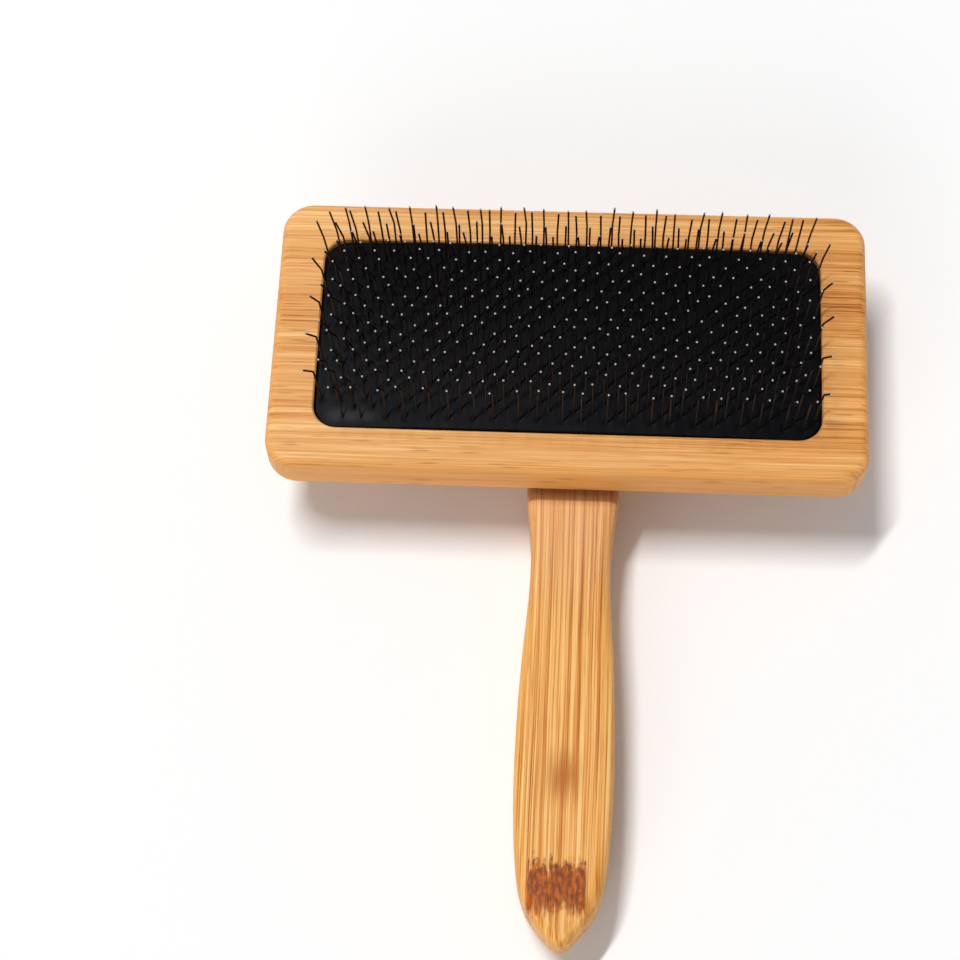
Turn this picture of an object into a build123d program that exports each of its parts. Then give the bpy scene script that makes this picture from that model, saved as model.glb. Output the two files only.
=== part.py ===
from build123d import *
import math
import os
import random

# Bristle brush: a bamboo slicker brush for grooming pets, lying on its back with its pins up.
# Millimetres. X runs across the head, the handle points to -Y, and the handle's back lies on Z = 0.
# The origin is the centre of the bottom of the whole brush's box.

os.makedirs("parts", exist_ok=True)

# Overall size
overall_length = 155.0
overall_height = 42.0

# Bamboo head block and the pocket milled in its front
head_width = 123.0
head_depth = 61.5
head_thickness = 10.0
head_corner_radius = 6.5
head_front_round = 2.0
head_back_round = 2.5
pocket_width = 104.0
pocket_depth = 43.8
pocket_corner_radius = 5.0
pocket_floor_thickness = 3.5
pocket_edge_break = 0.3

# Bamboo handle, lapped under the head's back; its widths are (distance from the head, width)
handle_thickness = 16.0
handle_offset = 1.75
neck_width = 19.0
neck_flare_angle = 10.0
handle_widths = [(6.0, 17.4), (14.0, 16.3), (33.0, 18.1), (54.0, 19.7), (73.0, 18.8), (85.5, 14.0)]
tip_radius = 2.8
tip_flank_angle = 40.0
tip_back_height = 6.8
handle_front_round = 2.4
handle_back_round = 3.0
back_face_slope = 0.3
tongue_length = 46.0
tongue_ramp_length = 20.0
tongue_end_height = 7.0
tail_curve_length = 29.5

# Two countersunk screws from the pocket floor into the tongue
screw_count = 2
screw_spacing = 16.0
screw_diameter = 3.5
screw_root_diameter = 2.6
screw_length = 14.0
screw_head_diameter = 7.4
screw_head_height = 2.0
screw_shank_length = 4.0
screw_point_length = 2.0
screw_thread_pitch = 1.2
screw_recess_width = 0.9
screw_recess_span = 4.2
screw_recess_depth = 1.3
screw_hole_clearance = 0.1
screw_seat_gap = 0.05
countersink_angle = 90.0

# Cushion: foam, canvas foundation and rubber face, all arched to one barrel shape
pad_side_gap = 0.3
rubber_thickness = 1.8
canvas_thickness = 1.2
crown_space = 0.9
arch_rise = 0.9
arch_radius_across = 240.0
arch_radius_along = 1100.0
rubber_edge_round = 0.4

# Wire pins, set as U-shaped staples with a knee in each leg
wire_diameter = 0.4
row_count = 21
row_pitch = 1.925
staples_per_row = 11
staple_pitch = 9.0
leg_spacing = 3.8
first_leg_x = -50.3
twill_steps = 4
twill_phase = 2
knee_height = 6.6
lower_lean = 26.0
lower_lean_change = 0.08
upper_lean = 19.0
near_lean_change = 0.3
far_lean_change = 0.6
rear_lean = 8.0
rear_lean_power = 9
last_row_lean = 7.5
lower_fan = 13.5
upper_fan = 11.0
upper_fan_reach = 23.0
fan_power = 3
knee_bend_radius = 1.0
crown_bend_radius = 0.5
lower_scatter = 1.5
upper_scatter = 2.8
length_scatter = 0.35
scatter_seed = 12

# Places worked out from the sizes above
head_back_z = handle_thickness
head_front_z = head_back_z + head_thickness
pocket_floor_z = head_back_z + pocket_floor_thickness
head_far_y = overall_length / 2
head_near_y = head_far_y - head_depth
head_centre_y = head_far_y - head_depth / 2
handle_tip_y = -overall_length / 2
tongue_end_y = head_near_y + tongue_length
pad_width = pocket_width - 2 * pad_side_gap
pad_depth = pocket_depth - 2 * pad_side_gap
pad_corner_radius = pocket_corner_radius - pad_side_gap
rubber_top_z = head_front_z + arch_rise
canvas_top_z = rubber_top_z - rubber_thickness
canvas_back_z = canvas_top_z - canvas_thickness
foam_top_z = canvas_back_z - crown_space
crown_depth = rubber_thickness + canvas_thickness + crown_space / 2
screw_middle_y = head_centre_y - screw_spacing / 2


def write_node(part, name):
    """Label a finished piece and write it as its own node."""
    part.label = name
    export_step(part, f"parts/{name}.step")


def slope(degrees):
    """Sideways run for each unit of height of a line that leans by this many degrees."""
    return math.tan(math.radians(degrees))


def arched_height(x, y, top_z):
    """Height of the barrel-shaped surface whose highest point is top_z, above the point x, y."""
    drop_along = arch_radius_along - math.sqrt(arch_radius_along**2 - x**2)
    radius_here = arch_radius_across - drop_along
    across = y - head_centre_y
    return top_z - arch_radius_across + math.sqrt(radius_here**2 - across**2)


def make_barrel(top_z):
    """A large barrel lying along X, whose highest point is top_z, to cut the cushion's layers with."""
    axis_z = top_z - arch_radius_across
    reach = head_width / 2
    end_z = arched_height(reach, head_centre_y, top_z)
    with BuildPart() as barrel:
        with BuildSketch(Plane.XZ.offset(-head_centre_y)):
            with BuildLine():
                ThreePointArc((-reach, end_z), (0, top_z), (reach, end_z))
                Polyline((reach, end_z), (reach, axis_z), (-reach, axis_z), (-reach, end_z))
            make_face()
        revolve(axis=Axis((0, head_centre_y, axis_z), (1, 0, 0)))
    return barrel.part


# Barrels that bound the cushion's layers
rubber_barrel = make_barrel(rubber_top_z)
canvas_barrel = make_barrel(canvas_top_z)
crown_barrel = make_barrel(canvas_back_z)
foam_barrel = make_barrel(foam_top_z)

# Head block
with BuildPart() as head_block:
    with BuildSketch(Plane.XY.offset(head_back_z)):
        with Locations((0, head_centre_y)):
            RectangleRounded(head_width, head_depth, head_corner_radius)
    extrude(amount=head_thickness)
    fillet(head_block.faces().sort_by(Axis.Z)[-1].edges(), head_front_round)
    fillet(head_block.faces().sort_by(Axis.Z)[0].edges(), head_back_round)
    with BuildSketch(Plane.XY.offset(head_front_z)):
        with Locations((0, head_centre_y)):
            RectangleRounded(pocket_width, pocket_depth, pocket_corner_radius)
    extrude(amount=pocket_floor_z - head_front_z, mode=Mode.SUBTRACT)
    chamfer(head_block.faces().sort_by(Axis.Z)[-1].inner_wires().edges(), pocket_edge_break)
    with Locations((handle_offset, screw_middle_y, pocket_floor_z)):
        with GridLocations(0, screw_spacing, 1, screw_count):
            CounterSinkHole(
                radius=screw_diameter / 2 + screw_hole_clearance,
                counter_sink_radius=screw_head_diameter / 2 + screw_hole_clearance,
                depth=pocket_floor_thickness,
                counter_sink_angle=countersink_angle,
            )
write_node(head_block.part, "head_block")

# Handle: plan outline, cut to the side profile, with rounded long edges and screw holes
handle_plane = Plane((handle_offset, 0, 0))
neck_flare = math.radians(neck_flare_angle)
tip_flank = math.radians(tip_flank_angle)
tip_join_x = tip_radius * math.cos(tip_flank)
tip_join_y = handle_tip_y + tip_radius * (1 - math.sin(tip_flank))
tongue_side_y = tongue_end_y - neck_width / 2
sole_near_y = handle_tip_y + tail_curve_length
sole_far_y = tongue_end_y - tongue_ramp_length
with BuildPart() as handle:
    with BuildSketch(handle_plane):
        with BuildLine():
            flank = Spline(
                (neck_width / 2, head_near_y),
                *[(width / 2, head_near_y - distance) for distance, width in handle_widths],
                (tip_join_x, tip_join_y),
                tangents=[
                    (-math.sin(neck_flare), -math.cos(neck_flare)),
                    (-math.sin(tip_flank), -math.cos(tip_flank)),
                ],
            )
            Line((neck_width / 2, tongue_side_y), flank @ 0)
            RadiusArc((0, tongue_end_y), (neck_width / 2, tongue_side_y), neck_width / 2)
            RadiusArc(flank @ 1, (0, handle_tip_y), tip_radius)
            mirror(about=Plane.YZ)
        make_face()
    extrude(amount=handle_thickness)
    with BuildSketch(Plane.YZ):
        with BuildLine():
            Line((sole_near_y, 0), (sole_far_y, 0))
            TangentArc((sole_far_y, 0), (tongue_end_y, tongue_end_height), tangent=(1, 0))
            TangentArc((sole_near_y, 0), (handle_tip_y, tip_back_height), tangent=(-1, 0))
            Polyline(
                (tongue_end_y, tongue_end_height),
                (tongue_end_y, handle_thickness),
                (handle_tip_y, handle_thickness),
                (handle_tip_y, tip_back_height),
            )
        make_face()
    extrude(amount=neck_width, both=True, mode=Mode.INTERSECT)
    fillet(handle.faces().sort_by(Axis.Z)[-1].edges(), handle_front_round)
    back_faces = handle.faces().filter_by(lambda face: face.normal_at().Z < -back_face_slope)
    fillet(back_faces.edges().filter_by(Axis.X, reverse=True), handle_back_round)
    with Locations((handle_offset, screw_middle_y, handle_thickness)):
        with GridLocations(0, screw_spacing, 1, screw_count):
            Hole(
                radius=screw_diameter / 2 + screw_hole_clearance / 2,
                depth=screw_length - pocket_floor_thickness + screw_hole_clearance,
            )
write_node(handle.part, "handle")

# Screws that hold the handle to the head
screw_top_z = pocket_floor_z - screw_seat_gap
screw_point_z = screw_top_z - screw_length
thread_top_z = screw_top_z - screw_head_height - screw_shank_length
thread_length = thread_top_z - screw_point_z - screw_point_length
thread_turns = math.floor(thread_length / screw_thread_pitch)
outline = [(0, screw_top_z), (screw_head_diameter / 2, screw_top_z)]
outline.append((screw_diameter / 2, screw_top_z - screw_head_height))
outline.append((screw_diameter / 2, thread_top_z))
for turn in range(thread_turns):
    turn_z = thread_top_z - turn * screw_thread_pitch
    outline.append((screw_root_diameter / 2, turn_z - screw_thread_pitch / 2))
    outline.append((screw_diameter / 2, turn_z - screw_thread_pitch))
outline.append((0, screw_point_z))
with BuildPart() as one_screw:
    with BuildSketch(Plane.XZ):
        with BuildLine():
            Polyline(*outline, close=True)
        make_face()
    revolve(axis=Axis.Z)
    with BuildSketch(Plane.XY.offset(screw_top_z)):
        Rectangle(screw_recess_span, screw_recess_width)
        Rectangle(screw_recess_width, screw_recess_span)
    extrude(amount=-screw_recess_depth, mode=Mode.SUBTRACT)
with BuildPart() as handle_screws:
    with Locations((handle_offset, screw_middle_y, 0)):
        with GridLocations(0, screw_spacing, 1, screw_count):
            add(one_screw.part)
write_node(handle_screws.part, "handle_screws")

# Foam that backs the pad and lets it give
with BuildPart() as foam_cushion:
    with BuildSketch(Plane.XY.offset(pocket_floor_z)):
        with Locations((0, head_centre_y)):
            RectangleRounded(pad_width, pad_depth, pad_corner_radius)
    extrude(amount=head_thickness)
    add(foam_barrel, mode=Mode.INTERSECT)
write_node(foam_cushion.part, "foam_cushion")

# Woven canvas foundation that the staples are set through
with BuildPart() as canvas_foundation:
    with BuildSketch(Plane.XY.offset(pocket_floor_z)):
        with Locations((0, head_centre_y)):
            RectangleRounded(pad_width, pad_depth, pad_corner_radius)
    extrude(amount=head_thickness)
    add(canvas_barrel, mode=Mode.INTERSECT)
    add(crown_barrel, mode=Mode.SUBTRACT)
write_node(canvas_foundation.part, "canvas_foundation")

# Black rubber face that shows in the head's window
with BuildPart() as rubber_face:
    with BuildSketch(Plane.XY.offset(pocket_floor_z)):
        with Locations((0, head_centre_y)):
            RectangleRounded(pad_width, pad_depth, pad_corner_radius)
    extrude(amount=head_thickness)
    add(rubber_barrel, mode=Mode.INTERSECT)
    fillet(rubber_face.faces().sort_by(Axis.Z)[-1].edges(), rubber_edge_round)
    add(canvas_barrel, mode=Mode.SUBTRACT)
write_node(rubber_face.part, "rubber_face")

# Pins: every row is a node of staples, each row stepped sideways from the one before
scatter = random.Random(scatter_seed)
upper_height = overall_height - rubber_top_z - knee_height
last_row_reach = (row_count - 1) / 2 * row_pitch
rear_row_reach = last_row_reach - row_pitch


def upper_lean_at(across):
    """Lean of a pin's upper part this far across the pad; the last row stands at an angle of its own."""
    if across > (last_row_reach + rear_row_reach) / 2:
        return -last_row_lean
    if across < 0:
        return near_lean_change * across - upper_lean
    return far_lean_change * across - upper_lean + rear_lean * (across / rear_row_reach) ** rear_lean_power


def leg_points(x, y):
    """Crown corner, knee and tip of the staple leg that leaves the rubber at x, y."""
    across = y - head_centre_y
    splay = (x / (pad_width / 2)) ** fan_power
    lower = lower_lean + lower_lean_change * across + scatter.uniform(-1, 1) * lower_scatter
    lower_side = lower_fan * splay + scatter.uniform(-1, 1) * lower_scatter
    upper = upper_lean_at(across) + scatter.uniform(-1, 1) * upper_scatter
    upper_splay = splay * (1 - (across / upper_fan_reach) ** 2)
    upper_side = upper_fan * upper_splay + scatter.uniform(-1, 1) * upper_scatter
    surface = Vector(x, y, arched_height(x, y, rubber_top_z))
    lower_slope = Vector(slope(lower_side), slope(lower), 1)
    upper_slope = Vector(slope(upper_side), slope(upper), 1)
    root = surface - lower_slope * crown_depth
    corner = Vector(root.X, root.Y, arched_height(root.X, root.Y, rubber_top_z) - crown_depth)
    knee = surface + lower_slope * knee_height
    tip = knee + upper_slope * (upper_height - scatter.uniform(0, 1) * length_scatter)
    return corner, knee, tip


for row in range(row_count):
    row_y = head_centre_y + (row - (row_count - 1) / 2) * row_pitch
    row_x = first_leg_x + (row + twill_phase) % twill_steps * staple_pitch / twill_steps
    staples = []
    for staple in range(staples_per_row):
        left_x = row_x + staple * staple_pitch
        left_corner, left_knee, left_tip = leg_points(left_x, row_y)
        right_corner, right_knee, right_tip = leg_points(left_x + leg_spacing, row_y)
        with BuildPart() as pin_pair:
            with BuildLine() as wire_path:
                FilletPolyline(
                    [left_tip, left_knee, left_corner, right_corner, right_knee, right_tip],
                    radius=[knee_bend_radius, crown_bend_radius, crown_bend_radius, knee_bend_radius],
                )
            with BuildSketch(Plane(origin=wire_path.line @ 0, z_dir=wire_path.line % 0)):
                Circle(wire_diameter / 2)
            sweep(path=wire_path.line)
        staples.append(pin_pair.part)
    write_node(Compound(children=staples), f"pin_row_{row + 1:02d}")
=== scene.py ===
import math
import bpy
from mathutils import Matrix, Vector
from mathutils.kdtree import KDTree


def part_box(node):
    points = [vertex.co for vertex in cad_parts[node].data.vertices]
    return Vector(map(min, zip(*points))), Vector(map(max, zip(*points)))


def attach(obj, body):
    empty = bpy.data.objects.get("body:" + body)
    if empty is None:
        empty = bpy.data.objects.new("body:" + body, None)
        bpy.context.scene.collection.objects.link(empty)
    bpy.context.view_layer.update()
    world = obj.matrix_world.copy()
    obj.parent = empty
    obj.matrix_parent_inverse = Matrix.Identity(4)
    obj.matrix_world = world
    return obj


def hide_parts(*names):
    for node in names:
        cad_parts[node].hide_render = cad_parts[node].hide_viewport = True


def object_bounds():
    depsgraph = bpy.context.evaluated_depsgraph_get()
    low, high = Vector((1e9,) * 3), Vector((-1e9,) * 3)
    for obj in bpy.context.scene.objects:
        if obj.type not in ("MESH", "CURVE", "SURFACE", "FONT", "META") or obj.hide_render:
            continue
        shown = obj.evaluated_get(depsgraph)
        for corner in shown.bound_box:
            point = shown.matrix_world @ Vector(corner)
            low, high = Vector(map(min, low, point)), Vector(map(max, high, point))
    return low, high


# Looks for the bristle brush: lacquered bamboo, black rubber and wire pins, on a pale studio floor.
# Metres, in the CAD's frame. Shader graphs work in millimetres of that same frame.

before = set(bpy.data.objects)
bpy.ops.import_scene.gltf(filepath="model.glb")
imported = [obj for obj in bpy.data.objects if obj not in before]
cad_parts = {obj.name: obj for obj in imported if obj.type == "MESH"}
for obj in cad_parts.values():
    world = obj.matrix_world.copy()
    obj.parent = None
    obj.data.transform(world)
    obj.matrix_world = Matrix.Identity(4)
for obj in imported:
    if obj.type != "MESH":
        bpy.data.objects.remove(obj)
cad_low, cad_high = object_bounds()

MM = 0.001

head_low, head_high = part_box("head_block")
handle_low, handle_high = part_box("handle")
rubber_low, rubber_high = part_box("rubber_face")
head_centre = (head_low + head_high) / 2


# ---------------------------------------------------------------- camera

LENS_LENGTH = 90.0
SENSOR_WIDTH = 36.0
CLIP_START = 0.01
CLIP_END = 100.0
CAMERA_ELEVATION = math.radians(65.99)
CAMERA_AZIMUTH = math.radians(-6.17)
CAMERA_ROLL = math.radians(-3.916)
CAMERA_DISTANCE = 0.48394
AIM_LEFT = 17.0 * MM
AIM_BELOW = 32.85 * MM


def make_camera():
    """The camera, rolled slightly and aimed below and left of the head's centre."""
    aim = Vector((head_centre.x - AIM_LEFT, head_centre.y - AIM_BELOW, head_high.z))
    forward = Vector((
        math.sin(CAMERA_AZIMUTH) * math.cos(CAMERA_ELEVATION),
        math.cos(CAMERA_AZIMUTH) * math.cos(CAMERA_ELEVATION),
        -math.sin(CAMERA_ELEVATION),
    ))
    level = Vector((math.cos(CAMERA_AZIMUTH), -math.sin(CAMERA_AZIMUTH), 0.0))
    upright = level.cross(forward)
    right = math.cos(CAMERA_ROLL) * level + math.sin(CAMERA_ROLL) * upright
    up = math.cos(CAMERA_ROLL) * upright - math.sin(CAMERA_ROLL) * level
    turn = Matrix((right, up, -forward)).transposed().to_quaternion()
    data = bpy.data.cameras.new("camera")
    data.lens = LENS_LENGTH
    data.sensor_width = SENSOR_WIDTH
    data.clip_start = CLIP_START
    data.clip_end = CLIP_END
    camera = bpy.data.objects.new("camera", data)
    camera.matrix_world = Matrix.LocRotScale(aim - forward * CAMERA_DISTANCE, turn, None)
    bpy.context.scene.collection.objects.link(camera)
    bpy.context.scene.camera = camera


# ---------------------------------------------------------------- shader graphs

class Shader:
    """A new material, with short calls for building its node graph."""

    def __init__(self, name):
        self.material = bpy.data.materials.new(name)
        self.material.use_nodes = True
        self.tree = self.material.node_tree
        self.surface = self.tree.nodes["Principled BSDF"]

    def put(self, socket, value):
        """Link another node's output to a socket, or set a plain value on it."""
        if isinstance(value, bpy.types.NodeSocket):
            self.tree.links.new(value, socket)
        else:
            socket.default_value = value

    def add(self, kind, sockets=(), **settings):
        node = self.tree.nodes.new(kind)
        for name, value in settings.items():
            setattr(node, name, value)
        for name, value in dict(sockets).items():
            self.put(node.inputs[name], value)
        return node

    def math(self, operation, *values):
        node = self.add("ShaderNodeMath", operation=operation)
        for socket, value in zip(node.inputs, values):
            self.put(socket, value)
        return node.outputs[0]

    def product(self, first, *others):
        for other in others:
            first = self.math("MULTIPLY", first, other)
        return first

    def centred(self, value):
        """A pattern of 0 to 1 as -0.5 to 0.5."""
        return self.math("SUBTRACT", value, 0.5)

    def blend(self, value, low, high):
        """A straight line: low where value is 0 and high where it is 1."""
        return self.math("MULTIPLY_ADD", value, high - low, low)

    def scale(self, vector, steps):
        node = self.add("ShaderNodeVectorMath", operation="MULTIPLY")
        self.put(node.inputs[0], vector)
        self.put(node.inputs[1], steps)
        return node.outputs[0]

    def millimetres(self):
        """The point's place in the CAD's frame, in millimetres."""
        place = self.add("ShaderNodeTexCoord").outputs["Object"]
        return self.scale(place, (1 / MM, 1 / MM, 1 / MM))

    def split(self, vector):
        return self.add("ShaderNodeSeparateXYZ", {"Vector": vector}).outputs

    def combine(self, x, y, z):
        return self.add("ShaderNodeCombineXYZ", {"X": x, "Y": y, "Z": z}).outputs[0]

    def facing(self, axis):
        """How far the surface faces along X, Y or Z, -1 to 1."""
        normal = self.add("ShaderNodeNewGeometry").outputs["True Normal"]
        return self.split(normal)[axis]

    def noise(self, vector, steps, detail=2.0, roughness=0.5):
        """Soft noise, 0 to 1; steps is how many turns it makes to the millimetre on each axis."""
        sockets = {
            "Vector": self.scale(vector, steps), "Scale": 1.0, "Detail": detail, "Roughness": roughness,
        }
        return self.add("ShaderNodeTexNoise", sockets).outputs["Fac"]

    def cells(self, vector, steps):
        """Distance from the nearest of a scatter of points, in cells; steps is cells to the millimetre."""
        sockets = {"Vector": self.scale(vector, steps), "Scale": 1.0}
        return self.add("ShaderNodeTexVoronoi", sockets).outputs["Distance"]

    def random(self, value):
        """One random number, 0 to 1, for each whole number given."""
        return self.add("ShaderNodeTexWhiteNoise", {"W": value}, noise_dimensions="1D").outputs["Value"]

    def fade(self, value, start, end, low=0.0, high=1.0):
        """A smooth step from low, where value is at start, to high, where it is at end."""
        sockets = {"Value": value, "From Min": start, "From Max": end, "To Min": low, "To Max": high}
        return self.add("ShaderNodeMapRange", sockets, interpolation_type="SMOOTHSTEP").outputs[0]

    def between(self, value, span, soft):
        """1 inside a span and 0 outside it, with soft ends."""
        rise = self.fade(value, span[0] - soft, span[0] + soft)
        fall = self.fade(value, span[1] - soft, span[1] + soft, 1.0, 0.0)
        return self.product(rise, fall)

    def ramp(self, value, stops):
        """Colours between (place, sRGB colour) stops."""
        node = self.add("ShaderNodeValToRGB", {"Fac": value})
        elements = node.color_ramp.elements
        while len(elements) < len(stops):
            elements.new(0.5)
        for element, (place, colour) in zip(elements, stops):
            element.position = place
            element.color = linear(colour)
        return node.outputs["Color"]

    def mix(self, amount, first, second):
        """From the first colour to the second; a tuple is an sRGB colour."""
        node = self.add("ShaderNodeMix", data_type="RGBA")
        self.put(node.inputs["Factor"], amount)
        self.put(node.inputs[6], linear(first) if isinstance(first, tuple) else first)
        self.put(node.inputs[7], linear(second) if isinstance(second, tuple) else second)
        return node.outputs[2]

    def bump(self, height, depth):
        """A bump that stands depth millimetres high where height is 1."""
        node = self.add("ShaderNodeBump", {"Height": height, "Strength": 1.0, "Distance": depth * MM})
        self.put(self.surface.inputs["Normal"], node.outputs[0])

    def finish(self, **values):
        """Set the surface's sockets, with _ for each space in a name, and give the material."""
        for name, value in values.items():
            self.put(self.surface.inputs[name.replace("_", " ")], value)
        return self.material


def linear(colour):
    """An sRGB colour, 0 to 255, as linear RGBA."""
    def one(channel):
        share = channel / 255
        return share / 12.92 if share <= 0.04045 else ((share + 0.055) / 1.055) ** 2.4
    return (*map(one, colour), 1.0)


# ---------------------------------------------------------------- bamboo

# The two boards. The weights say how much each pattern shows, base is the middle tone, drift is how the tone
# changes to the millimetre along the grain, and shades are the colours from the darkest tone to the palest.
HEAD_BOARD = {
    "along": "X", "seed": 3.0, "strip_width": 5.8, "base": 0.535, "drift": -0.0014,
    "strip_weight": 0.14, "broad_weight": 0.34, "streak_weight": 0.70, "fine_weight": 0.66,
    "dash_weight": 0.36, "end_weight": 0.40,
    "shades": (
        (0.00, (158, 84, 24)),
        (0.25, (198, 127, 58)),
        (0.50, (220, 155, 86)),
        (0.75, (231, 170, 101)),
        (1.00, (243, 194, 130)),
    ),
}
HANDLE_BOARD = {
    "along": "Y", "seed": 11.0, "strip_width": 6.4, "base": 0.50, "drift": 0.0,
    "strip_weight": 0.10, "broad_weight": 0.22, "streak_weight": 1.35, "fine_weight": 0.65,
    "dash_weight": 0.20, "end_weight": 0.12,
    "shades": (
        (0.00, (160, 86, 22)),
        (0.25, (199, 124, 46)),
        (0.50, (225, 161, 82)),
        (0.75, (240, 184, 108)),
        (1.00, (248, 204, 138)),
    ),
}
FIBRE_COLOUR = (124, 62, 18)
JOINT_COLOUR = (144, 76, 22)
END_GRAIN = (196, 140, 92)

# How fast each pattern changes to the millimetre: along the grain, across it, and in depth
WANDER_STEPS = (0.016, 0.08, 0.08)
BROAD_STEPS = (0.008, 0.30, 0.30)
STREAK_STEPS = (0.009, 1.25, 1.25)
FINE_STEPS = (0.04, 4.2, 4.2)
BUNDLE_STEPS = (0.10, 1.35, 1.35)
PATCH_STEPS = (0.03, 0.12, 0.12)
END_DOT_STEPS = (0.10, 2.2, 2.2)

# The grain wanders this far across, in millimetres, and its patterns change more slowly with height
WANDER_REACH = 1.3
DEPTH_SHARE = 0.28
JOINT_WIDTH = 0.16
JOINT_SHOWS = 0.30

# Dark fibre bundles: the distances, in cells, over which one fades out, and where they crowd into patches
BUNDLE_EDGE = (0.08, 0.32)
PATCH_EDGE = (0.45, 0.68)
DASH_LEAST = 0.16

# The patterns fade where the surface turns sideways, and end grain shows where it faces along the grain
SIDE_CONTRAST = 0.35
SIDE_TO_FRONT = (0.55, 0.98)
END_FACING = (0.80, 0.97)
END_DOT_EDGE = (0.12, 0.45)
END_DOT_SHOWS = 0.5

FINE_HEIGHT = 0.5
STREAK_HEIGHT = 0.8
DASH_HEIGHT = 0.8
GRAIN_DEPTH = 0.03
LACQUER_ROUGHNESS = (0.34, 0.50)
LACQUER_SPECULAR = 0.14


def bamboo_place(shader, board):
    """The point's place along the grain, across it and in height, and as one vector for the patterns."""
    x, y, z = shader.split(shader.millimetres())
    along, across = (x, y) if board["along"] == "X" else (y, x)
    wander = shader.noise(shader.combine(along, across, z), WANDER_STEPS)
    across = shader.math("ADD", across, shader.product(shader.centred(wander), WANDER_REACH))
    grain = shader.combine(along, across, shader.product(z, DEPTH_SHARE))
    return {"along": along, "across": across, "z": z, "grain": grain}


def bamboo_strips(shader, board, across):
    """The laminated strips: each one's random tone, and 1 on the thin joints between them."""
    strip = shader.math("DIVIDE", across, board["strip_width"])
    strip = shader.math("ADD", strip, board["seed"])
    tone = shader.random(shader.math("FLOOR", strip))
    from_joint = shader.math("PINGPONG", strip, 0.5)
    joint = shader.fade(from_joint, 0.0, JOINT_WIDTH / board["strip_width"], 1.0, 0.0)
    return tone, joint


def bamboo_tone(shader, board, along, patterns):
    """How pale the wood is, 0 to 1. The patterns fade where the surface turns away from the front."""
    tone = shader.math("MULTIPLY_ADD", along, board["drift"], board["base"])
    for name, pattern in patterns.items():
        tone = shader.math("MULTIPLY_ADD", shader.centred(pattern), 2.0 * board[name + "_weight"], tone)
    front = shader.math("ABSOLUTE", shader.facing("Z"))
    contrast = shader.fade(front, *SIDE_TO_FRONT, SIDE_CONTRAST, 1.0)
    return shader.math("MULTIPLY_ADD", shader.centred(tone), contrast, 0.5)


def bamboo_dashes(shader, board, grain):
    """How far the short dark fibre bundles show, mostly in patches."""
    bundles = shader.fade(shader.cells(grain, BUNDLE_STEPS), *BUNDLE_EDGE, 1.0, 0.0)
    patches = shader.fade(shader.noise(grain, PATCH_STEPS, detail=1.0), *PATCH_EDGE)
    return shader.product(bundles, shader.blend(patches, DASH_LEAST, DASH_LEAST + board["dash_weight"]))


def bamboo_ends(shader, board, grain, colour):
    """The colour with dotted end grain where the surface faces along the grain."""
    facing = shader.math("ABSOLUTE", shader.facing(board["along"]))
    shows = shader.product(shader.fade(facing, *END_FACING), board["end_weight"])
    dots = shader.fade(shader.cells(grain, END_DOT_STEPS), *END_DOT_EDGE, END_DOT_SHOWS, 0.0)
    return shader.mix(shows, colour, shader.mix(dots, END_GRAIN, FIBRE_COLOUR))


def bamboo(name, board, marks=None):
    """Laminated bamboo under satin lacquer, its grain along X or Y; marks adds more to its colour."""
    shader = Shader(name)
    place = bamboo_place(shader, board)
    grain = place["grain"]
    strip_tone, joint = bamboo_strips(shader, board, place["across"])
    broad = shader.noise(grain, BROAD_STEPS, detail=3.0)
    streak = shader.noise(grain, STREAK_STEPS, detail=4.0, roughness=0.6)
    fine = shader.noise(grain, FINE_STEPS)
    patterns = {"strip": strip_tone, "broad": broad, "streak": streak, "fine": fine}
    dashes = bamboo_dashes(shader, board, grain)

    colour = shader.ramp(bamboo_tone(shader, board, place["along"], patterns), board["shades"])
    colour = shader.mix(dashes, colour, FIBRE_COLOUR)
    colour = shader.mix(shader.product(joint, JOINT_SHOWS), colour, JOINT_COLOUR)
    colour = bamboo_ends(shader, board, grain, colour)
    if marks:
        colour = marks(shader, place, colour)

    height = shader.math("MULTIPLY_ADD", fine, FINE_HEIGHT, shader.product(streak, STREAK_HEIGHT))
    height = shader.math("SUBTRACT", height, shader.product(dashes, DASH_HEIGHT))
    shader.bump(height, GRAIN_DEPTH)
    roughness = shader.blend(streak, *LACQUER_ROUGHNESS)
    return shader.finish(Base_Color=colour, Roughness=roughness, Specular_IOR_Level=LACQUER_SPECULAR)


# ---------------------------------------------------------------- marks on the handle, in millimetres

handle_tip = handle_low.y / MM
handle_line = (handle_low.x + handle_high.x) / 2 / MM
neck_top = head_low.y / MM
head_back = head_low.z / MM

# The neck grows paler towards the head. The dark strip across it, just below the head, strengthens the head's
# shadow there.
NECK_LENGTH = 34.0
NECK_SHOWS = 0.42
NECK_TINT = (214, 166, 128)
STRIP_SPAN = (neck_top - 2.0, neck_top - 1.4)
STRIP_HEIGHT = (head_back - 3.0, head_back - 0.5)
STRIP_SHOWS = 0.62
STRIP_COLOUR = (114, 52, 4)

# The culm's node is a ragged brown band across the middle of the front, with a faint stain above it. The soft
# ends of each are given along the grain and across it.
FRONT_HEIGHT = (9.0, 10.0)
RAGGED_STEPS = (0.05, 1.5, 1.5)
STAIN_SPAN = (handle_tip + 29.0, handle_tip + 37.5)
STAIN_ACROSS = (handle_line - 2.8, handle_line + 2.6)
STAIN_SOFT = (4.0, 2.6)
STAIN_RAGGED = 12.0
STAIN_SHOWS = 0.75
STAIN_COLOUR = (170, 88, 16)
NODE_SPAN = (handle_tip + 6.2, handle_tip + 15.6)
NODE_ACROSS = (handle_line - 6.4, handle_line + 4.9)
NODE_SOFT = (1.5, 0.5)
NODE_RAGGED = 8.0
NODE_SHOWS = 0.96
NODE_DARK = (112, 42, 0)
NODE_LIGHT = (188, 92, 4)
BLOT_STEPS = (0.55, 1.3, 1.3)
BLOT_REACH = 7.0
BLOT_EDGE = (0.34, 0.70)


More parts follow.
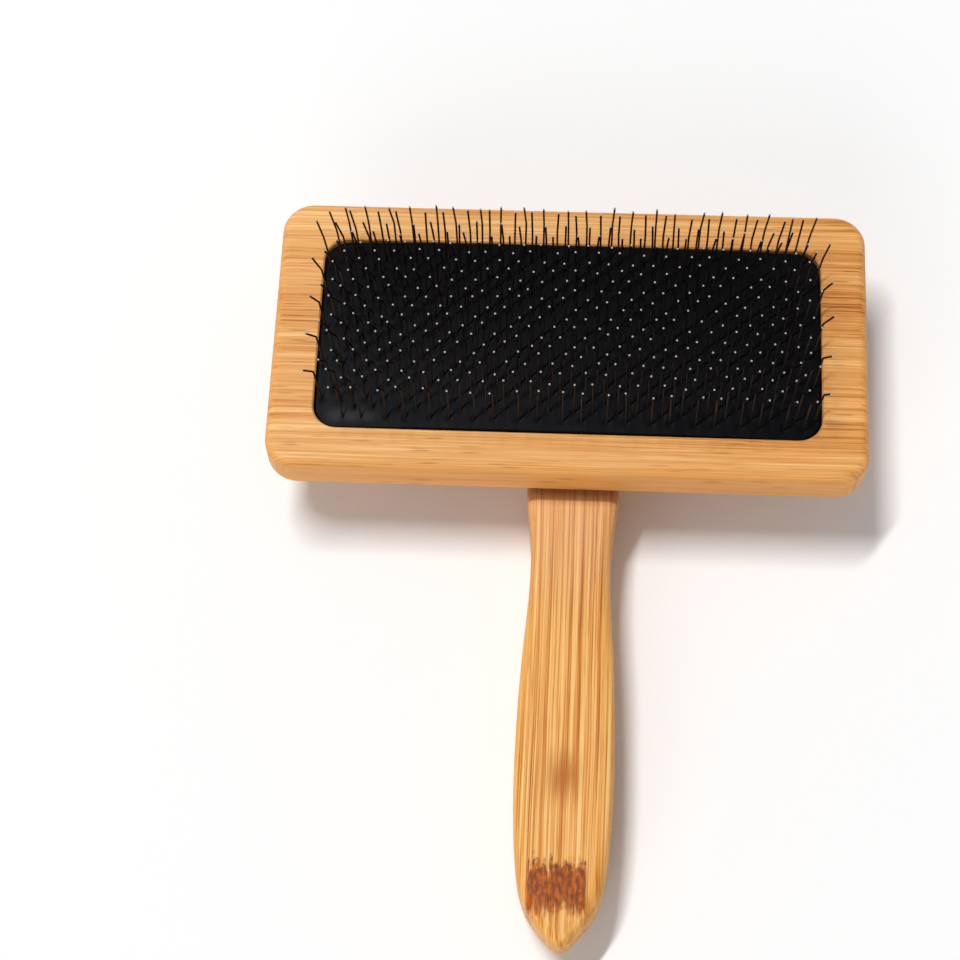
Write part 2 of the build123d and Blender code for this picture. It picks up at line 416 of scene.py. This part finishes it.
def mark_neck(shader, place, colour):
    pale = shader.fade(place["along"], neck_top - NECK_LENGTH, neck_top, 0.0, NECK_SHOWS)
    colour = shader.mix(pale, colour, NECK_TINT)
    strip = shader.product(
        shader.fade(place["along"], *STRIP_SPAN, 0.0, STRIP_SHOWS), shader.fade(place["z"], *STRIP_HEIGHT)
    )
    return shader.mix(strip, colour, STRIP_COLOUR)


def mark_stain(shader, place, colour, ragged, front):
    along = shader.math("MULTIPLY_ADD", ragged, STAIN_RAGGED, place["along"])
    stain = shader.product(
        shader.between(along, STAIN_SPAN, STAIN_SOFT[0]),
        shader.between(place["across"], STAIN_ACROSS, STAIN_SOFT[1]),
        front, STAIN_SHOWS,
    )
    return shader.mix(stain, colour, STAIN_COLOUR)


def mark_node(shader, place, colour, ragged, front):
    blots = shader.noise(place["grain"], BLOT_STEPS, detail=3.0, roughness=0.6)
    along = shader.math("MULTIPLY_ADD", ragged, NODE_RAGGED, place["along"])
    along = shader.math("MULTIPLY_ADD", shader.centred(blots), BLOT_REACH, along)
    band = shader.product(
        shader.between(along, NODE_SPAN, NODE_SOFT[0]),
        shader.between(place["across"], NODE_ACROSS, NODE_SOFT[1]),
        front, NODE_SHOWS,
    )
    mottled = shader.mix(shader.fade(blots, *BLOT_EDGE), NODE_DARK, NODE_LIGHT)
    return shader.mix(band, colour, mottled)


def handle_marks(shader, place, colour):
    colour = mark_neck(shader, place, colour)
    ragged = shader.centred(shader.noise(place["grain"], RAGGED_STEPS, detail=3.0, roughness=0.65))
    front = shader.fade(place["z"], *FRONT_HEIGHT)
    colour = mark_stain(shader, place, colour, ragged, front)
    return mark_node(shader, place, colour, ragged, front)


# ---------------------------------------------------------------- rubber

CLOUD_STEPS = (0.06, 0.06, 0.06)
RUBBER_SHADES = (
    (0.25, (5, 6, 9)),
    (0.55, (8, 9, 13)),
    (0.85, (13, 14, 18)),
)
RUBBER_GRAIN_STEPS = (4.0, 4.0, 4.0)
RUBBER_GRAIN_DEPTH = 0.02
CLOUD_HEIGHT = 0.6
SPECK_STEPS = (0.4, 0.4, 0.4)
SPECK_EDGE = (0.02, 0.09)
SPECK_SHOWS = 0.25
SPECK_COLOUR = (60, 62, 66)

# A painted glare at the rubber's near left corner: a pale cloudy patch that stands for a soft reflection off
# the shiny rubber, in millimetres, with soft ends across and along
PAINTED_GLARE_ACROSS = (rubber_low.x / MM + 3.0, rubber_low.x / MM + 12.5)
PAINTED_GLARE_ALONG = (rubber_low.y / MM + 1.6, rubber_low.y / MM + 4.0)
PAINTED_GLARE_SOFT = (2.0, 1.0)
PAINTED_GLARE_CLOUD = (0.35, 0.60)
PAINTED_GLARE_SHOWS = (0.25, 0.60)
PAINTED_GLARE_COLOUR = (74, 78, 82)


def rubber():
    """Near-black vulcanised rubber, faintly clouded, specked and grained, with a painted glare at its near
    left corner.
    """
    shader = Shader("black_rubber")
    place = shader.millimetres()
    x, y, _ = shader.split(place)
    cloud = shader.noise(place, CLOUD_STEPS, detail=4.0, roughness=0.6)
    grain = shader.noise(place, RUBBER_GRAIN_STEPS, detail=3.0, roughness=0.6)
    specks = shader.fade(shader.cells(place, SPECK_STEPS), *SPECK_EDGE, SPECK_SHOWS, 0.0)
    # The painted glare: a pale patch near the near left corner, painted in as the rubber's soft reflection,
    # not a scuff
    painted_glare = shader.product(
        shader.between(x, PAINTED_GLARE_ACROSS, PAINTED_GLARE_SOFT[0]),
        shader.between(y, PAINTED_GLARE_ALONG, PAINTED_GLARE_SOFT[1]),
        shader.fade(cloud, *PAINTED_GLARE_CLOUD, *PAINTED_GLARE_SHOWS),
    )
    colour = shader.mix(specks, shader.ramp(cloud, RUBBER_SHADES), SPECK_COLOUR)
    colour = shader.mix(painted_glare, colour, PAINTED_GLARE_COLOUR)
    shader.bump(shader.math("MULTIPLY_ADD", cloud, CLOUD_HEIGHT, grain), RUBBER_GRAIN_DEPTH)
    roughness = shader.blend(cloud, 0.34, 0.54)
    return shader.finish(Base_Color=colour, Roughness=roughness, Specular_IOR_Level=0.05)


# ---------------------------------------------------------------- steel

# A pin's tip is freshly snipped bare steel, painted pale grey and mostly non-metal as a painted glint, so it
# shows as a bright dot: the part of it that faces up, close to the top of the brush
CUT_GLINT_FACING = (0.62, 0.72)
CUT_GLINT_HEIGHT = (cad_high.z / MM - 4.0, cad_high.z / MM - 3.0)
CUT_GLINT_COLOUR = (164, 164, 167)
CUT_GLINT_ROUGHNESS = 0.35
DRAWN_METAL = 0.85
CUT_GLINT_METAL = 0.15
TARNISH_STEPS = (0.5, 0.5, 0.25)
DRAWN_STEPS = (6.0, 6.0, 0.8)
WIRE_SHADES = (
    (0.30, (42, 34, 29)),
    (0.60, (60, 51, 45)),
    (0.85, (96, 87, 80)),
)
BLOTCH_STEPS = (0.8, 0.8, 0.8)
TURNED_STEPS = (0.6, 0.6, 9.0)
SCREW_SHADES = (
    (0.3, (150, 150, 148)),
    (0.7, (196, 196, 192)),
)
STEEL_GRAIN_DEPTH = 0.01


def pin_wire():
    """Oiled steel wire: dark drawn sides, and freshly snipped tips painted pale grey as a painted glint."""
    shader = Shader("pin_wire")
    place = shader.millimetres()
    # The tips' mask: painted pale and mostly non-metal, partly bare steel and partly a painted glint
    cut_glint = shader.product(
        shader.fade(shader.facing("Z"), *CUT_GLINT_FACING),
        shader.fade(shader.split(place)["Z"], *CUT_GLINT_HEIGHT),
    )
    tarnish = shader.noise(place, TARNISH_STEPS, detail=3.0, roughness=0.6)
    colour = shader.mix(cut_glint, shader.ramp(tarnish, WIRE_SHADES), CUT_GLINT_COLOUR)
    shader.bump(shader.noise(place, DRAWN_STEPS), STEEL_GRAIN_DEPTH)
    roughness = shader.math("MULTIPLY_ADD", cut_glint, CUT_GLINT_ROUGHNESS, shader.blend(tarnish, 0.34, 0.54))
    metal = shader.fade(cut_glint, 0.0, 1.0, DRAWN_METAL, CUT_GLINT_METAL)
    return shader.finish(Base_Color=colour, Metallic=metal, Roughness=roughness)


def screw_steel():
    """Zinc-plated screw steel with fine turned marks."""
    shader = Shader("screw_steel")
    place = shader.millimetres()
    blotch = shader.noise(place, BLOTCH_STEPS, detail=3.0)
    turned = shader.noise(place, TURNED_STEPS)
    shader.bump(turned, STEEL_GRAIN_DEPTH)
    colour = shader.ramp(blotch, SCREW_SHADES)
    return shader.finish(Base_Color=colour, Metallic=0.95, Roughness=shader.blend(turned, 0.25, 0.45))


# ---------------------------------------------------------------- canvas and foam

WEAVE_PITCH = 0.9
WEAVE_DEPTH = 0.12
CANVAS_SHADES = (
    (0.0, (150, 134, 104)),
    (1.0, (214, 200, 168)),
)
BUBBLE_STEPS = (1.6, 1.6, 1.6)
BUBBLE_DEPTH = 0.25
FOAM_SHADES = (
    (0.05, (92, 92, 96)),
    (0.6, (150, 150, 152)),
)


def canvas():
    """Undyed plain-weave cotton canvas."""
    shader = Shader("canvas")
    x, y, _ = shader.split(shader.millimetres())
    warp = shader.math("SINE", shader.product(x, 2 * math.pi / WEAVE_PITCH))
    weft = shader.math("SINE", shader.product(y, 2 * math.pi / WEAVE_PITCH))
    weave = shader.math("MULTIPLY_ADD", shader.product(warp, weft), 0.5, 0.5)
    shader.bump(weave, WEAVE_DEPTH)
    return shader.finish(Base_Color=shader.ramp(weave, CANVAS_SHADES), Roughness=0.92, Sheen_Weight=0.2)


def foam():
    """Grey open-cell foam."""
    shader = Shader("foam")
    bubbles = shader.cells(shader.millimetres(), BUBBLE_STEPS)
    shader.bump(bubbles, BUBBLE_DEPTH)
    return shader.finish(Base_Color=shader.ramp(bubbles, FOAM_SHADES), Roughness=0.95)


# ---------------------------------------------------------------- the CAD nodes' materials

def paint(node, material):
    """Give every material slot of a CAD node one material."""
    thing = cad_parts[node]
    if not thing.material_slots:
        thing.data.materials.append(material)
    for slot in thing.material_slots:
        slot.link = "OBJECT"
        slot.material = material


def paint_nodes():
    paint("head_block", bamboo("bamboo_head", HEAD_BOARD))
    paint("handle", bamboo("bamboo_handle", HANDLE_BOARD, handle_marks))
    paint("handle_screws", screw_steel())
    wire = pin_wire()
    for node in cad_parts:
        if node.startswith("pin_row_"):
            paint(node, wire)


# ---------------------------------------------------------------- the cushion's three layers, in millimetres

# The staples' pattern in the rubber, as the CAD sets it
ROW_COUNT = 21
ROW_PITCH = 1.925
STAPLES_PER_ROW = 11
STAPLE_PITCH = 9.0
LEG_SPACING = 3.8
FIRST_LEG_X = -50.3
TWILL_STEPS = 4
TWILL_PHASE = 2

# The rubber's surface: a pucker round each wire, on a faint ripple
PUCKER_REACH = 0.85
PUCKER_DEPTH = 0.16
RIPPLE_DEPTH = 0.05
RIPPLE_LENGTH = 2.6

# The layers' meshes: their grid's spacing, and its first places in from each edge, where the CAD rounds it
PAD_CORNER = 4.7
FACE_STEP = 0.45
HIDDEN_STEP = 1.4
EDGE_STEPS = (0.0, 0.04, 0.12, 0.24, 0.40, 0.65)
WALL_STEPS = 6
PROBE_SHARE = 0.9995
PROBE_START = 1.0
LAYER_INSET = 0.1
FOAM_WAIST = 0.35
SHARP_ANGLE = math.radians(50.0)


def pin_places():
    """Where each wire leaves the rubber."""
    places = KDTree(ROW_COUNT * STAPLES_PER_ROW * 2)
    for row in range(ROW_COUNT):
        y = head_centre.y / MM + (row - (ROW_COUNT - 1) / 2) * ROW_PITCH
        row_x = FIRST_LEG_X + (row + TWILL_PHASE) % TWILL_STEPS * STAPLE_PITCH / TWILL_STEPS
        for leg in range(2 * STAPLES_PER_ROW):
            x = row_x + leg // 2 * STAPLE_PITCH + leg % 2 * LEG_SPACING
            places.insert((x, y, 0.0), leg)
    places.balance()
    return places


def stations(low, high, step):
    """Grid places from low to high, evenly spaced but closer at both ends."""
    inner = high - low - 2 * EDGE_STEPS[-1]
    count = round(inner / step)
    near_low = [low + edge for edge in EDGE_STEPS]
    middle = [low + EDGE_STEPS[-1] + inner * place / count for place in range(1, count)]
    near_high = [high - edge for edge in reversed(EDGE_STEPS)]
    return near_low + middle + near_high


def half_width(y, low, high):
    """Half the width of the pad's round-cornered outline at a place along it."""
    corner = max(low.y / MM + PAD_CORNER - y, y - high.y / MM + PAD_CORNER, 0.0)
    side = PAD_CORNER - math.sqrt(max(PAD_CORNER**2 - corner**2, 0.0))
    return (high.x - low.x) / MM / 2 - side


def surface_points(solid, low, high, x, y, lowered):
    """The points of a CAD solid's front and back at one place, in metres, with the front lowered a little."""
    middle = (low + high) / 2 / MM
    probe = Vector((x * PROBE_SHARE, middle.y + (y - middle.y) * PROBE_SHARE, 0.0)) * MM
    above = probe + Vector((0, 0, high.z + PROBE_START * MM))
    below = probe + Vector((0, 0, low.z - PROBE_START * MM))
    front = solid.ray_cast(above, (0, 0, -1))[1].z
    back = solid.ray_cast(below, (0, 0, 1))[1].z
    return Vector((x * MM, y * MM, front - lowered * MM)), Vector((x * MM, y * MM, back))


def layer_faces(across, along):
    """The squares of a layer's front grid and, facing the other way, of its back grid."""
    faces = []
    for row in range(along - 1):
        for column in range(across - 1):
            first = row * across + column
            square = (first, first + 1, first + 1 + across, first + across)
            faces.append(square)
            faces.append(tuple(corner + across * along for corner in reversed(square)))
    return faces


def layer_rim(across, along):
    """The front grid's outermost points, once round."""
    near = list(range(across))
    right = [row * across + across - 1 for row in range(1, along)]
    far = [across * along - 1 - column for column in range(1, across)]
    left = [row * across for row in range(along - 2, 0, -1)]
    return near + right + far + left


def add_walls(points, faces, rim, count, middle, half_size, waist):
    """Walls from the front's rim to the back's, over rings of points that waist draws in at mid-height."""
    half_across, half_along = half_size
    ring = rim
    for level in range(1, WALL_STEPS + 1):
        if level == WALL_STEPS:
            next_ring = [place + count for place in rim]
        else:
            share = level / WALL_STEPS
            pull = waist * math.sin(math.pi * share)
            next_ring = list(range(len(points), len(points) + len(rim)))
            for place in rim:
                point = points[place].lerp(points[place + count], share)
                point.x += (middle.x * MM - point.x) * pull / half_across
                point.y += (middle.y * MM - point.y) * pull / half_along
                points.append(point)
        for turn in range(len(rim)):
            faces.append((ring[turn - 1], next_ring[turn - 1], next_ring[turn], ring[turn]))
        ring = next_ring


def make_layer(name, node, material, step, taken_off=None, inset=0.0, waist=0.0):
    """
    A closed mesh that follows a CAD layer's back and front. taken_off(x, y) lowers its front, inset draws
    its outline in, and waist draws its walls in further at mid-height.
    """
    low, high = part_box(node)
    middle = (low + high) / 2 / MM
    half_across = half_width(middle.y, low, high)
    half_along = high.y / MM - middle.y
    rows = stations(low.y / MM, high.y / MM, step)
    columns = stations(-half_across, half_across, step)
    front, back = [], []
    for row in rows:
        reach = half_width(row, low, high) / half_across
        y = middle.y + (row - middle.y) * (1 - inset / half_along)
        for column in columns:
            x = middle.x + column * reach * (1 - inset / half_across)
            lowered = taken_off(x, y) if taken_off else 0.0
            front_point, back_point = surface_points(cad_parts[node], low, high, x, y, lowered)
            front.append(front_point)
            back.append(back_point)
    points = front + back
    faces = layer_faces(len(columns), len(rows))
    rim = layer_rim(len(columns), len(rows))
    add_walls(points, faces, rim, len(front), middle, (half_across, half_along), waist)

    mesh = bpy.data.meshes.new(name)
    mesh.from_pydata(points, [], faces)
    mesh.materials.append(material)
    mesh.shade_smooth()
    mesh.set_sharp_from_angle(angle=SHARP_ANGLE)
    piece = bpy.data.objects.new(name, mesh)
    bpy.context.scene.collection.objects.link(piece)
    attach(piece, "root")
    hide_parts(node)
    return piece


def make_rubber():
    """The rubber face, with a pucker at every wire."""
    pins = pin_places()

    def puckers(x, y):
        distance = pins.find((x, y, 0.0))[2]
        pucker = max(1 - (distance / PUCKER_REACH) ** 2, 0.0) ** 2
        ripple = 0.5 + 0.5 * math.sin(x / RIPPLE_LENGTH) * math.sin(y / RIPPLE_LENGTH)
        side = min(x - rubber_low.x / MM, rubber_high.x / MM - x)
        end = min(y - rubber_low.y / MM, rubber_high.y / MM - y)
        from_edge = min(side, end) / EDGE_STEPS[-1]
        return min(from_edge, 1.0) * (PUCKER_DEPTH * pucker + RIPPLE_DEPTH * ripple)

    rubber_skin = make_layer("rubber_skin", "rubber_face", rubber(), FACE_STEP, taken_off=puckers)


def make_foam():
    """The crowned foam, whose walls draw in."""
    foam_block = make_layer(
        "foam_block", "foam_cushion", foam(), HIDDEN_STEP, inset=LAYER_INSET, waist=FOAM_WAIST
    )


def make_canvas():
    """The canvas stretched over the foam."""
    canvas_sheet = make_layer("canvas_sheet", "canvas_foundation", canvas(), HIDDEN_STEP, inset=LAYER_INSET)


# ---------------------------------------------------------------- studio

FLOOR_SIDE = 7.0
FLOOR_GAP = 0.2 * MM
FLOOR_COLOUR = (0.92, 0.92, 0.92, 1.0)
WALL_STRENGTH = 0.9
CEILING_STRENGTH = 0.29
WALL_TOP = 0.20
WALL_FADE = 0.12
WALL_COLOUR = (1.0, 1.0, 1.0, 1.0)
LIGHT_AIM = (0.0, 0.0, 0.02)
KEY_PLACE = (-1.2, 0.85, 4.5)
KEY_SIZE = (2.0, 0.2)
KEY_POWER = 160.0
FILL_PLACE = (-1.75, -4.75, 2.5)
FILL_SIZE = (4.0, 2.5)
FILL_POWER = 78.0


def make_floor():
    """A pale floor just under the brush."""
    shader = Shader("studio_floor")
    shader.finish(Base_Color=FLOOR_COLOUR, Roughness=0.9, Specular_IOR_Level=0.1)
    half = FLOOR_SIDE / 2
    corners = [(-half, -half, 0.0), (half, -half, 0.0), (half, half, 0.0), (-half, half, 0.0)]
    mesh = bpy.data.meshes.new("studio_floor")
    mesh.from_pydata(corners, [], [(0, 1, 2, 3)])
    mesh.materials.append(shader.material)
    floor = bpy.data.objects.new("studio_floor", mesh)
    floor.location.z = cad_low.z - FLOOR_GAP
    bpy.context.scene.collection.objects.link(floor)


def make_light(name, place, size, power):
    """A rectangular lamp aimed at the brush."""
    data = bpy.data.lights.new(name, "AREA")
    data.shape = "RECTANGLE"
    data.size, data.size_y = size
    data.energy = power
    light = bpy.data.objects.new(name, data)
    light.location = place
    light.rotation_euler = (Vector(LIGHT_AIM) - Vector(place)).to_track_quat("-Z", "Y").to_euler()
    light.visible_camera = False
    bpy.context.scene.collection.objects.link(light)


def make_world():
    """Pale studio walls all round, under a dimmer ceiling."""
    world = bpy.data.worlds.new("studio")
    world.use_nodes = True
    nodes, links = world.node_tree.nodes, world.node_tree.links
    direction = nodes.new("ShaderNodeTexCoord")
    split = nodes.new("ShaderNodeSeparateXYZ")
    fade = nodes.new("ShaderNodeMapRange")
    fade.interpolation_type = "SMOOTHSTEP"
    fade.inputs["From Min"].default_value = WALL_TOP - WALL_FADE
    fade.inputs["From Max"].default_value = WALL_TOP + WALL_FADE
    fade.inputs["To Min"].default_value = WALL_STRENGTH
    fade.inputs["To Max"].default_value = CEILING_STRENGTH
    links.new(direction.outputs["Generated"], split.inputs["Vector"])
    links.new(split.outputs["Z"], fade.inputs["Value"])
    links.new(fade.outputs[0], nodes["Background"].inputs["Strength"])
    nodes["Background"].inputs["Color"].default_value = WALL_COLOUR
    bpy.context.scene.world = world


def make_studio():
    make_floor()
    make_world()
    make_light("key", KEY_PLACE, KEY_SIZE, KEY_POWER)
    make_light("front_fill", FILL_PLACE, FILL_SIZE, FILL_POWER)
    bpy.context.scene.view_settings.view_transform = "Standard"


make_camera()
paint_nodes()
make_rubber()
make_foam()
make_canvas()
make_studio()
